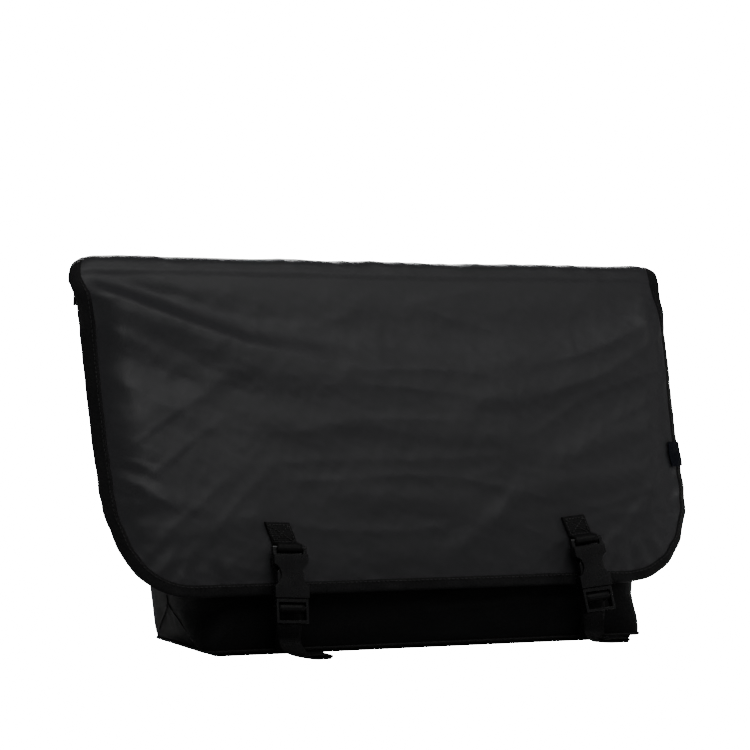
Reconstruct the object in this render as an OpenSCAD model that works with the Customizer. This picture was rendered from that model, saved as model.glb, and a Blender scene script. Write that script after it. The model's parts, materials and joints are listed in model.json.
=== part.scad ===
/* [Bag body] */
// Width of the base
base_w = 430; // [360:5:520]
// Depth of the base, front to back
base_d = 150; // [120:5:190]
// Height of the body panels, up to the mouth
body_h = 345; // [290:5:420]
// Width of the sides just above the boxed base corners
corner_w = 472; // [400:2:540]
// Height of the boxed base corners
corner_h = 43; // [30:1:60]
// Width across the mouth
mouth_w = 550; // [440:5:580]
// Thickness of the body fabric panels
panel_t = 2.4; // [1.6:0.1:3.4]
// Thickness of the base panel
base_t = 3; // [2:0.2:5]
// How far the front stands proud of a straight line from base to mouth
front_bulge = 22; // [10:1:30]
// How far the back stands proud of a straight line from base to mouth
back_bulge = 4; // [0:1:8]
// Thickness of the foam behind the back panel
foam_t = 3; // [2:0.5:5]
// Thickness of the loose liner
liner_t = 0.8; // [0.5:0.1:1.5]
// Thickness of the stiff board in the base
board_t = 2.5; // [1.5:0.5:4]
// Height of the tape that binds the mouth
mouth_tape_h = 3; // [2:0.5:4]

/* [Flap] */
// Width of the flap
flap_w = 608; // [600:2:680]
// Height of the flap's hem above the floor
hem_z = 56; // [40:1:100]
// Radius of the flap's lower corners
flap_corner_r = 85; // [50:1:110]
// Thickness of the flap's outer fabric
shell_t = 1.8; // [1.2:0.1:2.6]
// Thickness of the flap's lining
lining_t = 1.2; // [0.8:0.1:2]
// How far the hem stands off the front panel
flap_hem_gap = 13; // [10:0.5:18]
// How far the flap's side edges curl back
edge_curl = 28; // [10:1:40]
// Width of the binding tape on the flap's edge
binding_w = 13; // [9:0.5:18]
// Thickness that the binding tape adds on each face
binding_t = 0.7; // [0.4:0.1:1.2]
// Radius of the roll where the flap turns over the mouth
crown_r = 17; // [15:0.5:24]
// Distance from the middle of the base back to the middle of the roll
crown_y = 40; // [34:1:46]
// Height of the flap's sewn root on the back panel
root_h = 29; // [20:1:34]
// Length of the folded label tab along the flap's edge
tab_l = 24; // [16:1:34]
// Width of the folded label tab
tab_w = 20; // [8:1:28]
// Thickness of the folded label tab
tab_t = 1.2; // [0.8:0.1:2]

/* [Side-release buckles] */
// Width of the buckle webbing
web_w = 25; // [20:1:30]
// Thickness of one layer of buckle webbing
web_t = 1.6; // [1.2:0.1:2.2]
// Half the distance between the two buckles
buckle_x = 153; // [110:1:190]
// How far the middle of the buckles sits to the right of the bag's middle
buckle_shift = 5; // [0:0.5:8]
// Height of the socket's bar above the floor
buckle_z = 99; // [90:1:115]
// Lean of the buckles, lower end outwards
buckle_tilt = 14; // [8:1:18]
// Sideways lean of the left buckle, its lower end to the right
left_roll = -3; // [-6:0.5:8]
// Sideways lean of the right buckle, its lower end to the right
right_roll = 5.5; // [-6:0.5:10]
// Length of the socket from its bar to its mouth
socket_l = 47; // [44:1:52]
// Depth of the socket, front to back
socket_d = 11; // [10:0.5:13]
// Thickness of the socket's walls
socket_wall = 1.8; // [1.4:0.1:2.2]
// Length of the plug's webbing frame
frame_l = 23; // [22:0.5:28]
// Radius of the round bars that the webbing goes around
bar_r = 2.2; // [1.8:0.1:2.4]
// Length of the sewn webbing patch above each buckle
patch_l = 18; // [16:1:30]
// Width of the plug's side arms across the buckle
arm_reach = 13.2; // [12.6:0.1:13.4]

/* [Shoulder strap] */
// Width of the shoulder strap
strap_w = 50; // [38:1:50]
// Thickness of the shoulder strap
strap_t = 2; // [1.6:0.1:2.6]
// Distance of each strap ring from the middle of the bag
ring_x = 235; // [180:1:238]
// Radius of the ring wire
ring_r = 2; // [1.5:0.1:2.5]
// Distance between the two long bars of a ring
ring_h = 18; // [16:1:24]
// Height of the strap's lowest point above the floor
strap_low = 50; // [30:1:90]
// Radius of the turns at the bottom of the strap
strap_turn_r = 75; // [60:1:90]
// Height of the strap slider
slider_h = 28; // [24:1:34]

/* [Clearances] */
// Gap between sewn layers
seam_gap = 0.2; // [0.1:0.05:0.4]
// Gap around a bar inside a webbing loop
loop_gap = 0.3; // [0.2:0.05:0.6]
// Gap between the flap's lining and the front panel at the mouth
flap_clear = 0.8; // [0.6:0.1:1.5]
// Gap around the plug inside the socket
buckle_gap = 0.5; // [0.4:0.05:0.7]

/* [Hidden] */

// Body profile
bulge_low = 0.75; // under 1 puts the fullest height below the middle
wall_rows = 12; // steps up a curved panel
flap_t = shell_t + seam_gap + lining_t;
flap_top_gap = flap_t + flap_clear;
crown_z = body_h + 6;
mouth_front_y = crown_y - crown_r + flap_top_gap;
mouth_back_y = crown_y + crown_r - shell_t - 2 * seam_gap;
panel_z0 = base_t + seam_gap;
liner_inset = panel_t + seam_gap;
liner_back_inset = liner_inset + foam_t + seam_gap;
board_margin = 8; // from the base's edge to the board
foam_margin = 12; // from the side seams to the foam
foam_z0 = 20;
foam_z1 = body_h - 40;

// Flap roll: the root, crown and front pieces meet at these angles
root_end = 50;
front_start = 180 - root_end;
roll_gap = 0.8; // degrees between two pieces of the roll
curl_ramp = 50; // height below the roll over which the edge curl grows
flap_cols = 24;
knee_col = 20 / 24; // the grid column that follows the body's front corner
knee_share = 0.92; // and the most of the flap's half width that it may be at
flap_rows = 10;
corner_steps = 8;
tab_z = 0.5 * (hem_z + crown_z) - 38;

// Buckle, in its own frame: bar at the origin, plug below, front towards -Y
slot_w = web_w + 1.4; // room for the webbing across a slot
socket_w = slot_w + 6.6;
socket_top = 6.5; // from the bar down to the socket's body
buckle_stand = 3.2; // from the sewn webbing to the loop round the bar
notch_z = 25.5;
notch_r = 11;
waist = 10; // half width of the socket between its side notches
cavity_w = 2 * (arm_reach + buckle_gap);
cavity_d = socket_d - 2 * socket_wall;
plug_w = socket_w - 2;
plug_d = 8;
bar_drop = 8.8; // from the top of the plug's frame to its bar
collar_l = 3.5;
plug_bar_z = socket_l + buckle_gap + bar_drop;
foot_l = 2.6; // the frame's lowest bar
tongue_w = 6;
tongue_d = cavity_d - 2 * buckle_gap - 2;
tongue_top = 14;
arm_d = cavity_d - 2 * buckle_gap;
arm_root_r = 1.8;
arm_root_x = 8.6;
arm_root_z = socket_l - arm_root_r;
loop_r = bar_r + loop_gap; // inside of a webbing loop
loop_back = plug_d / 2 + 0.8; // where the webbing round the plug's bar ends
strap_back = loop_back + 0.5 + web_t / 2; // middle of the webbing behind the plug
tail_fold = [38, 22, 5]; // folded end of a tail
tail_bend_r = 5;

// Strap rings
ring_z = body_h - root_h;
ring_inner_w = strap_w + 3;
ring_loop_r = ring_r + loop_gap;
ring_off = 1; // from the sewn tab to the strap's loop
tab_patch_l = 30;
slider_wire = 4;
slider_d = strap_t + 2 * loop_gap + 0.8 * slider_wire;
strap_twist_z0 = ring_z - ring_h - 68; // the flat part of each leg ends here
ring_y = max(back_y(ring_z - ring_h) + seam_gap + 3 * strap_t + ring_loop_r + ring_off,
             back_y(strap_twist_z0) + slider_d / 2 + ring_off);
strap_twist_z1 = strap_low + strap_turn_r;
strap_deep_y = max(base_d / 2, back_y(strap_twist_z1)) + strap_w / 2 + 1.5;
strap_lead = 0.7; // under 1 moves the strap off the back before it turns
slider_z = 0.5 * (ring_z - ring_h + strap_twist_z0) - 2;

// ---- functions ----
function mix(a, b, s) = a + (b - a) * s;
function clamp01(v) = max(0, min(1, v));
function rows(a, b, n) = [for (i = [0:n]) mix(a, b, i / n)];

// Half width of the body at a height
function half_w(z) =
    z < corner_h ? mix(base_w, corner_w, z / corner_h) / 2
    : mix(corner_w, mouth_w, clamp01((z - corner_h) / (body_h - corner_h))) / 2;
// Outer face of the front and back panels at a height
function front_y(z) =
    let (s = clamp01(z / body_h))
    mix(-base_d / 2, mouth_front_y, s) - front_bulge * sin(180 * pow(s, bulge_low));
function back_y(z) =
    let (s = clamp01(z / body_h))
    mix(base_d / 2, mouth_back_y, s) + back_bulge * sin(180 * s);

// Outer face of the flap below its roll
function edge_share(x, z) =
    clamp01((abs(x) - half_w(z)) / (flap_w / 2 - half_w(z)));
function curl(x, z) =
    edge_curl * clamp01((crown_z - z) / curl_ramp) * pow(edge_share(x, z), 2);
function flap_y(x, z) =
    front_y(z) - mix(flap_hem_gap, flap_top_gap, clamp01(z / body_h)) + curl(x, z);
function flap_pt(x, z, depth) = [x, flap_y(x, z) + depth, z];
function roll_pt(x, angle, depth) =
    [x, crown_y + (crown_r - depth) * cos(angle), crown_z + (crown_r - depth) * sin(angle)];
// Half width of the flap at a height, for an edge moved in by inset
function flap_half(z, inset) =
    let (drop = hem_z + flap_corner_r - z, r = flap_corner_r - inset)
    flap_w / 2 - (drop <= 0 ? inset : flap_corner_r - sqrt(max(r * r - drop * drop, 0)));

// Where a grid column falls at a height: one column follows the body's front corner
function flap_x(c, z, inset) =
    let (half = flap_half(z, inset), knee = min(half_w(z), knee_share * half), s = abs(c))
    sign(c) * (s < knee_col ? s / knee_col * knee
               : mix(knee, half, (s - knee_col) / (1 - knee_col)));

// Unit normals along a path, on its left
function normals(p) =
    [for (i = [0:len(p) - 1])
        let (d = p[min(i + 1, len(p) - 1)] - p[max(i - 1, 0)])
        [-d[1], d[0]] / norm(d)];
function arc(c, r, a0, a1, n) =
    [for (i = [0:n]) c + r * [cos(mix(a0, a1, i / n)), sin(mix(a0, a1, i / n))]];

// A point of the buckle's frame, as [y, z] in the bag's frame
function buckle_y() = flap_y(buckle_x, buckle_z) - 3 * web_t - loop_r - buckle_stand;
function from_buckle(p) =
    [buckle_y(), buckle_z]
    + [p[0] * cos(buckle_tilt) + p[1] * sin(buckle_tilt),
       -p[0] * sin(buckle_tilt) + p[1] * cos(buckle_tilt)];

// The same, the other way round
function to_buckle(p) =
    let (d = p - [buckle_y(), buckle_z])
    [d[0] * cos(buckle_tilt) - d[1] * sin(buckle_tilt),
     d[0] * sin(buckle_tilt) + d[1] * cos(buckle_tilt)];

// ---- shared shapes ----
// Closed solid between two grids. Seen from outside, rows run down and columns run right.
module grid_solid(outer, inner) {
    nr = len(outer);
    nc = len(outer[0]);
    n = nr * nc;
    points = concat([for (r = outer) each r], [for (r = inner) each r]);
    faces_out = [for (i = [0:nr - 2]) for (j = [0:nc - 2])
        let (a = i * nc + j, b = a + 1, c = a + nc + 1, d = a + nc)
        each [[a, b, c], [a, c, d]]];
    faces_in = [for (f = faces_out) [f[0] + n, f[2] + n, f[1] + n]];
    edges = concat(
        [for (j = [0:nc - 2]) [j, j + 1]],
        [for (i = [0:nr - 2]) [i * nc + nc - 1, (i + 1) * nc + nc - 1]],
        [for (j = [0:nc - 2]) [(nr - 1) * nc + j + 1, (nr - 1) * nc + j]],
        [for (i = [0:nr - 2]) [(i + 1) * nc, i * nc]]);
    walls = [for (e = edges)
        each [[e[1], e[0], e[0] + n], [e[1], e[0] + n, e[1] + n]]];
    polyhedron(points, concat(faces_out, faces_in, walls));
}

// Solid through level rectangular rings, each [half width, front y, back y, z]
module loft(rings) {
    m = len(rings);
    points = [for (r = rings)
        each [[-r[0], r[1], r[3]], [r[0], r[1], r[3]], [r[0], r[2], r[3]], [-r[0], r[2], r[3]]]];
    sides = [for (k = [0:m - 2]) for (j = [0:3])
        let (a = 4 * k + j, b = 4 * k + (j + 1) % 4)
        each [[a, a + 4, b + 4], [a, b + 4, b]]];
    polyhedron(points, concat(sides, [[0, 1, 2, 3]], [[for (j = [3:-1:0]) 4 * (m - 1) + j]]));
}

// Inside of the body at a height, moved in from the outer faces
function body_ring(z, side, front, back) =
    [half_w(z) - side, front_y(z) + front, back_y(z) - back, z];

module strip(path, t) {
    n = normals(path);
    polygon(concat([for (i = [0:len(path) - 1]) path[i] + n[i] * t / 2],
                   [for (i = [len(path) - 1:-1:0]) path[i] - n[i] * t / 2]));
}

// A [y, z] outline, extruded w wide across the bag
module across(w) {
    rotate([90, 0, 90]) linear_extrude(w, center = true) children();
}

// A front-view [x, z] outline, between two depths
module front_slab(y0, y1) {
    translate([0, y1, 0]) rotate([90, 0, 0]) linear_extrude(y1 - y0) children();
}

// Places a buckle's frame: side is -1 on the left and 1 on the right
module at_buckle(side) {
    roll = side < 0 ? left_roll : right_roll;
    translate([bar_x(side), buckle_y(), buckle_z])
        rotate([-buckle_tilt, 0, 0]) rotate([0, -roll, 0]) children();
}

// Place of a socket's bar across the bag, and the rolled buckle's shift at its webbing bar
function bar_x(side) = side * buckle_x + buckle_shift;
function roll_shift(side) = plug_bar_z * sin(side < 0 ? left_roll : right_roll);

module ring_sector(r0, r1, a0, a1) {
    reach = 3 * r1;
    intersection() {
        difference() {
            circle(r1, $fn = 96);
            circle(r0, $fn = 96);
        }
        polygon(concat([[0, 0]], arc([0, 0], reach, a0, a1, 4)));
    }
}

// ---- bag body ----
module bottom_panel() {
    color("#161617") linear_extrude(base_t)
        offset(r = 5, $fn = 32) square([base_w - 10, base_d - 10], center = true);
}

module front_panel() {
    zs = rows(body_h, panel_z0, wall_rows);
    color("#0c0c0d") grid_solid(
        [for (z = zs) [for (s = [-1, 1]) [s * half_w(z), front_y(z), z]]],
        [for (z = zs) [for (s = [-1, 1]) [s * (half_w(z) - panel_t), front_y(z) + panel_t, z]]]);
}

module back_panel() {
    zs = rows(body_h, panel_z0, wall_rows);
    color("#121213") grid_solid(
        [for (z = zs) [for (s = [1, -1]) [s * half_w(z), back_y(z), z]]],
        [for (z = zs) [for (s = [1, -1]) [s * (half_w(z) - panel_t), back_y(z) - panel_t, z]]]);
}

// Side panel between the mitred edges of the front and the back
module gusset(side) {
    g = seam_gap;
    zs = rows(body_h, panel_z0, wall_rows);
    color("#161617") grid_solid(
        [for (z = zs)
            let (a = [side * half_w(z), front_y(z) + g, z], b = [side * half_w(z), back_y(z) - g, z])
            side > 0 ? [a, b] : [b, a]],
        [for (z = zs)
            let (x = side * (half_w(z) - panel_t),
                 a = [x, front_y(z) + panel_t + g, z], b = [x, back_y(z) - panel_t - g, z])
            side > 0 ? [a, b] : [b, a]]);
}
module left_gusset() { gusset(-1); }
module right_gusset() { gusset(1); }

module liner() {
    zs = rows(panel_z0 + seam_gap, body_h - 1, wall_rows);
    inner = rows(panel_z0 + seam_gap + liner_t, body_h, wall_rows);
    t = liner_t;
    color("#2c2d30") difference() {
        loft([for (z = zs) body_ring(z, liner_inset, liner_inset, liner_back_inset)]);
        loft([for (z = inner) body_ring(z, liner_inset + t, liner_inset + t, liner_back_inset + t)]);
    }
}

module base_board() {
    z0 = panel_z0 + 2 * seam_gap + liner_t;
    color("#35322d") translate([0, 0, z0]) linear_extrude(board_t)
        square([base_w - 2 * board_margin, base_d - 2 * board_margin], center = true);
}

module back_foam() {
    zs = rows(foam_z1, foam_z0, wall_rows);
    d = panel_t + seam_gap;
    color("#4a4a4d") grid_solid(
        [for (z = zs) [for (s = [1, -1]) [s * (half_w(z) - foam_margin), back_y(z) - d, z]]],
        [for (z = zs) [for (s = [1, -1]) [s * (half_w(z) - foam_margin), back_y(z) - d - foam_t, z]]]);
}

// Tape that binds the panels' top edges round the mouth
module mouth_tape() {
    y0 = front_y(body_h);
    depth = back_y(body_h) - y0;
    color("#101011") translate([0, y0 + depth / 2, body_h + seam_gap]) linear_extrude(mouth_tape_h)
        difference() {
            square([mouth_w, depth], center = true);
            square([mouth_w - 2 * panel_t, depth - 2 * panel_t], center = true);
        }
}

// ---- flap ----
// The flap's outer fabric where it is sewn to the back panel and starts over the mouth
module flap_root() {
    sewn = [for (z = rows(body_h - root_h + 8, body_h, 4)) [back_y(z) + seam_gap + shell_t / 2, z]];
    turn = arc([crown_y, crown_z], crown_r - shell_t / 2, 0, root_end - roll_gap / 2, 6);
    color("#2b2c2e") across(flap_w - 2 * binding_w) strip(concat(sewn, turn), shell_t);
}

module crown(t0, t1) {
    across(flap_w - 2 * binding_w) translate([crown_y, crown_z])
        ring_sector(crown_r - t1, crown_r - t0, root_end + roll_gap / 2, front_start - roll_gap / 2);
}
module crown_shell() { color("#2f3033") crown(0, shell_t); }
module crown_lining() { color("#1a1a1b") crown(shell_t + seam_gap, flap_t); }

// One layer of the flap's front, between two depths below its outer face
module flap_layer(d0, d1) {
    inset = binding_w + seam_gap;
    angles = rows(front_start + roll_gap / 2, 180, 5);
    r = flap_corner_r;
    zs = concat(rows(crown_z - 8, hem_z + r, flap_rows),
                [for (i = [1:corner_steps]) hem_z + r - (r - inset) * sin(90 * i / corner_steps)]);
    cols = rows(-1, 1, flap_cols);
    function layer(d) = concat(
        [for (a = angles) [for (c = cols) roll_pt(flap_x(c, crown_z, inset), a, d)]],
        [for (z = zs) [for (c = cols) flap_pt(flap_x(c, z, inset), z, d)]]);
    grid_solid(layer(d0), layer(d1));
}
module flap_shell() { color("#252527") flap_layer(0, shell_t); }
module flap_lining() { color("#19191a") flap_layer(shell_t + seam_gap, flap_t); }

// Tape folded over the flap's two side edges and its hem
module flap_binding() {
    r = flap_corner_r;
    angles = rows(front_start + roll_gap / 2, 180, 5);
    side_z = rows(crown_z - 8, hem_z + r, 8);
    turn = rows(0, 90, corner_steps);
    hem_x = rows(flap_w / 2 - r, 0, 6);
    // one edge line from the roll down to the middle of the hem
    function edge_line(side, inset, d) = concat(
        [for (a = angles) roll_pt(side * (flap_w / 2 - inset), a, d)],
        [for (z = side_z) flap_pt(side * (flap_w / 2 - inset), z, d)],
        [for (i = [1:corner_steps])
            flap_pt(side * (flap_w / 2 - r + (r - inset) * cos(turn[i])),
                    hem_z + r - (r - inset) * sin(turn[i]), d)],
        [for (i = [1:len(hem_x) - 1]) flap_pt(side * hem_x[i], hem_z + inset, d)]);
    function whole(inset, d) =
        let (left = edge_line(-1, inset, d), right = edge_line(1, inset, d))
        concat(left, [for (i = [len(right) - 2:-1:0]) right[i]]);
    function face(d) =
        let (rim = whole(0, d), inner = whole(binding_w, d))
        [for (i = [0:len(rim) - 1]) [rim[i], inner[i]]];
    color("#19191b") grid_solid(face(-binding_t), face(flap_t + binding_t));
}

// Plain folded tab on the binding at the flap's right edge
module label_tab() {
    x0 = flap_w / 2 - tab_w - 2;
    zs = [tab_z + tab_l, tab_z];
    xs = rows(x0, x0 + tab_w, 6);
    d = -binding_t - seam_gap;
    color("#1d2029") grid_solid(
        [for (z = zs) [for (x = xs) flap_pt(x, z, d - tab_t)]],
        [for (z = zs) [for (x = xs) flap_pt(x, z, d)]]);
}

// ---- buckles ----
// Doubled webbing sewn to the flap, with its loop round the socket's bar
module buckle_web(side) {
    t = 2 * web_t;
    off = t / 2 + seam_gap;
    low = buckle_z + loop_r + 2;
    patch = [for (z = rows(low + patch_l, low, 4)) to_buckle([flap_y(buckle_x, z) - off, z])];
    color("#141415") at_buckle(side) across(web_w) difference() {
        union() {
            strip(patch, t);
            strip([patch[4], [0, 0]], web_t);
            circle(loop_r + web_t, $fn = 64);
        }
        circle(loop_r, $fn = 64);
    }
}
module left_buckle_web() { buckle_web(-1); }
module right_buckle_web() { buckle_web(1); }

module socket_outline() {
    difference() {
        translate([-socket_w / 2, -socket_l]) square([socket_w, socket_l - socket_top]);
        for (s = [-1, 1])
            translate([s * (waist + notch_r), -notch_z]) circle(notch_r, $fn = 64);
    }
}

module socket(side) {
    cheek = (socket_w - slot_w) / 2;
    color("#0f0f10") at_buckle(side) {
        difference() {
            front_slab(-socket_d / 2, socket_d / 2) socket_outline();
            // the cavity for the plug, open at the mouth
            translate([-cavity_w / 2, -cavity_d / 2, -socket_l - 1])
                cube([cavity_w, cavity_d, socket_l - socket_top - 1.5]);
        }
        rotate([0, 90, 0]) cylinder(socket_w, r = bar_r, center = true, $fn = 48);
        for (s = [-1, 1])
            translate([s * (socket_w - cheek) / 2, 0, -socket_top / 2])
                cube([cheek, 2 * bar_r, socket_top + 0.2], center = true);
    }
}
module left_socket() { socket(-1); }
module right_socket() { socket(1); }

module plug_outline() {
    top = -(socket_l + buckle_gap);
    rail = (plug_w - slot_w) / 2;
    bottom = top - frame_l;
    difference() {
        translate([-plug_w / 2, bottom]) square([plug_w, frame_l]);
        translate([-slot_w / 2, bottom + foot_l])
            square([slot_w, frame_l - foot_l - collar_l]);
    }
}

module plug(side) {
    top = -(socket_l + buckle_gap);
    color("#111112") at_buckle(side) {
        front_slab(-plug_d / 2, plug_d / 2) plug_outline();
        translate([0, 0, -plug_bar_z]) rotate([0, 90, 0])
            cylinder(slot_w + 0.4, r = bar_r, center = true, $fn = 48);
        translate([-tongue_w / 2, -tongue_d / 2, top - 0.2])
            cube([tongue_w, tongue_d, -top - tongue_top]);
    }
}
module left_plug() { plug(-1); }
module right_plug() { plug(1); }

// Webbing over the front of the plug's bar, down to just behind the frame
module plug_web(side) {
    z = -plug_bar_z;
    r = loop_r + web_t / 2;
    path = concat([[loop_back, z + r]], arc([0, z], r, 90, 270, 12), [[loop_back, z - r]]);
    color("#0a0a0b") at_buckle(side) across(web_w) strip(path, web_t);
}
module left_plug_web() { plug_web(-1); }
module right_plug_web() { plug_web(1); }

// Springy side arm, with the pressed shoulder that shows in the socket's notch
module plug_arm(side, s) {
    x = arm_root_x;
    neck = -(notch_z + notch_r + 1.5);
    shoulder = -(notch_z + 8.5);
    outline = [
        [x + arm_root_r, -arm_root_z], [x + 1.6, neck], [arm_reach, shoulder],
        [arm_reach, -(notch_z - 2.5)], [arm_reach - 3, -(notch_z - 7)],
        [arm_reach - 5.6, -(notch_z - 7)], [x - 1, -(notch_z - 1.5)], [x - 0.8, neck],
        [x - arm_root_r, -arm_root_z]];
    color("#141415") at_buckle(side) front_slab(-arm_d / 2, arm_d / 2)
        mirror([s < 0 ? 1 : 0, 0]) {
            polygon(outline);
            translate([x, -arm_root_z]) circle(arm_root_r, $fn = 48);
        }
}
module left_arm_outer() { plug_arm(-1, -1); }
module left_arm_inner() { plug_arm(-1, 1); }
module right_arm_outer() { plug_arm(1, 1); }
module right_arm_inner() { plug_arm(1, -1); }

// ---- lower straps ----
// Webbing from the base seam up to the back of the plug
module lower_strap(side) {
    top = from_buckle([strap_back, -plug_bar_z + loop_r + 2]);
    seam = [front_y(0) - web_t / 2 - 1.5, web_t];
    path = [seam, mix(seam, top, 0.5) + [-1.5, 0], top];
    color("#0b0b0c") translate([bar_x(side) + roll_shift(side), 0, 0])
        across(web_w) strip(path, web_t);
}
module left_lower_strap() { lower_strap(-1); }
module right_lower_strap() { lower_strap(1); }

// Spare webbing that drops behind the plug to the floor, with its folded end
module strap_tail(side, run, end_x) {
    top = from_buckle([strap_back, -plug_bar_z - loop_r - 2]);
    floor_z = web_t / 2 + 0.2;
    r = tail_bend_r;
    bend = [top[0] - 1, floor_z + r];
    path = concat([top], arc(bend - [r, 0], r, 0, -90, 6), [[bend[0] - r - run, floor_z]]);
    color("#0b0b0c") {
        translate([bar_x(side) + roll_shift(side), 0, 0]) across(web_w) strip(path, web_t);
        translate([bar_x(side) + end_x, bend[0] - run + 2, 0.2 + tail_fold[2] / 2])
            cube(tail_fold, center = true);
    }
}
module left_strap_tail() { strap_tail(-1, 30, 9); }
module right_strap_tail() { strap_tail(1, 6, 20); }

// ---- shoulder strap ----
// Doubled webbing tab on the back panel, with its loop round the ring's upper bar
module ring_tab(side) {
    t = 2 * strap_t;
    off = t / 2 + seam_gap;
    bar = [ring_y, ring_z];
    patch = [for (z = rows(ring_z - tab_patch_l, ring_z - 4, 4)) [back_y(z) + off, z]];
    color("#141415") translate([side * ring_x, 0, 0]) across(strap_w) difference() {
        union() {
            strip(patch, t);
            strip([patch[4], bar], strap_t);
            translate(bar) circle(ring_loop_r + strap_t, $fn = 64);
        }
        translate(bar) circle(ring_loop_r, $fn = 64);
    }
}
module left_ring_tab() { ring_tab(-1); }
module right_ring_tab() { ring_tab(1); }

module ring(side) {
    half = (ring_inner_w + 2 * ring_r) / 2;
    color("#2a2a2c") translate([side * ring_x, ring_y, ring_z]) {
        for (z = [0, -ring_h]) translate([0, 0, z]) {
            rotate([0, 90, 0]) cylinder(2 * half, r = ring_r, center = true, $fn = 48);
            for (s = [-1, 1]) translate([s * half, 0, 0]) sphere(ring_r, $fn = 32);
        }
        for (s = [-1, 1]) translate([s * half, 0, -ring_h]) cylinder(ring_h, r = ring_r, $fn = 48);
    }
}
module left_ring() { ring(-1); }
module right_ring() { ring(1); }

// Stations of the strap from the left ring to the middle: centre and turn of its width
function strap_half() =
    let (x = ring_x, r = strap_turn_r, top = ring_z - ring_h - ring_loop_r - strap_t / 2)
    concat(
        [for (z = rows(top, strap_twist_z0, 4)) [[-x, ring_y, z], 0, [0, 0, -1]]],
        [for (i = [1:12])
            let (f = i / 12, z = mix(strap_twist_z0, strap_twist_z1, f))
            [[-x, mix(ring_y, strap_deep_y, pow(f, strap_lead)), z], 90 * f, [0, 0, -1]]],
        [for (i = [1:10])
            let (a = 180 + 9 * i)
            [[-x + r + r * cos(a), strap_deep_y, strap_twist_z1 + r * sin(a)], 90,
             [-sin(a), 0, cos(a)]]],
        [[[0, strap_deep_y, strap_low], 90, [1, 0, 0]]]);

// The four corners of the strap's section at a station, outer pair first
function strap_section(st) =
    let (across_dir = [cos(st[1]), -sin(st[1]), 0] * (strap_w / 2),
         w = st[1] < 90 ? across_dir : [0, -strap_w / 2, 0],
         n = cross(st[2], w) / norm(w) * strap_t / 2)
    [[st[0] + w - n, st[0] - w - n], [st[0] + w + n, st[0] - w + n]];

function flip_x(p) = [-p[0], p[1], p[2]];

module shoulder_strap() {
    half = [for (st = strap_half()) strap_section(st)];
    last = len(half) - 1;
    other = [for (i = [last - 1:-1:0]) [[flip_x(half[i][0][0]), flip_x(half[i][0][1])],
                                         [flip_x(half[i][1][0]), flip_x(half[i][1][1])]]];
    all = concat(half, other);
    color("#121213") {
        grid_solid([for (s = all) s[0]], [for (s = all) s[1]]);
        // loops round the rings' lower bars
        for (s = [-1, 1]) translate([s * ring_x, 0, 0]) across(strap_w)
            translate([ring_y, ring_z - ring_h]) difference() {
                circle(ring_loop_r + strap_t, $fn = 64);
                circle(ring_loop_r, $fn = 64);
            }
    }
}

// Three-bar slider round the strap's left leg
module strap_slider() {
    w = strap_w + 3 + 2 * slider_wire;
    slot = strap_w + 3;
    color("#0f0f10") translate([-ring_x, ring_y, slider_z]) difference() {
        cube([w, slider_d, slider_h], center = true);
        cube([slot, strap_t + 2 * loop_gap, slider_h + 1], center = true);
        for (s = [-1, 1]) translate([0, 0, s * (slider_h / 4 - 0.5)])
            cube([slot, slider_d + 1, slider_h / 2 - 1.5 * slider_wire], center = true);
    }
}

bottom_panel();
front_panel();
back_panel();
left_gusset();
right_gusset();
liner();
base_board();
back_foam();
mouth_tape();
flap_root();
crown_shell();
crown_lining();
flap_shell();
flap_lining();
flap_binding();
label_tab();
left_buckle_web();
right_buckle_web();
left_socket();
right_socket();
left_plug();
right_plug();
left_plug_web();
right_plug_web();
left_arm_outer();
left_arm_inner();
right_arm_outer();
right_arm_inner();
left_lower_strap();
right_lower_strap();
left_strap_tail();
right_strap_tail();
left_ring_tab();
right_ring_tab();
left_ring();
right_ring();
shoulder_strap();
strap_slider();
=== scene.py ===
"""A large courier messenger bag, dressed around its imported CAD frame. Lengths here are in millimetres."""

import json
import math
from functools import lru_cache

import bmesh
import bpy
import numpy as np
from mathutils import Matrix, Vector, noise


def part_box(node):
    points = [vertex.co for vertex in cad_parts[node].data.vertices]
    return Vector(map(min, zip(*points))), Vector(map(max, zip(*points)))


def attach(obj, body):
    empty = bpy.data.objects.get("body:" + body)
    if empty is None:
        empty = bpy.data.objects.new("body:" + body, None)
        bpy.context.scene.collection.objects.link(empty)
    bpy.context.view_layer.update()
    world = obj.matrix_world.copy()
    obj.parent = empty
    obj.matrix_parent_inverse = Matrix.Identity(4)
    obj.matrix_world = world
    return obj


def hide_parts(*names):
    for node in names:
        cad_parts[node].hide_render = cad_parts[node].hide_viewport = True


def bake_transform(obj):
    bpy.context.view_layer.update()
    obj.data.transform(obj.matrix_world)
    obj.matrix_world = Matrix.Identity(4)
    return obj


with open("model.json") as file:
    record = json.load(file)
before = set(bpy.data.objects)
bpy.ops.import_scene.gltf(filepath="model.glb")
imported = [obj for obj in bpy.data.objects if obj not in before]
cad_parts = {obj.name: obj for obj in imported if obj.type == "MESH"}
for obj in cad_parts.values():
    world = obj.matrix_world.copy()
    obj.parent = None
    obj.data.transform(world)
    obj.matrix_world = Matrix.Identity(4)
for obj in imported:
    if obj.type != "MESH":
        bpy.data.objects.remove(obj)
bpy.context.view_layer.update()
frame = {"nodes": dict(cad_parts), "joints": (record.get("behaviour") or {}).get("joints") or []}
MM = 0.001


# ---- places, from the frame
def box(node):
    """A CAD node's lowest and highest corner, in millimetres."""
    lo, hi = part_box(node)
    return np.array(lo) / MM, np.array(hi) / MM


def joint(name):
    """A joint of the frame, with its point in millimetres where it has one."""
    j = next(j for j in frame["joints"] if j["name"] == name)
    return np.array(j.get("pos_m", (0, 0, 0))) / MM, np.array(j["axis"])


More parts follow.
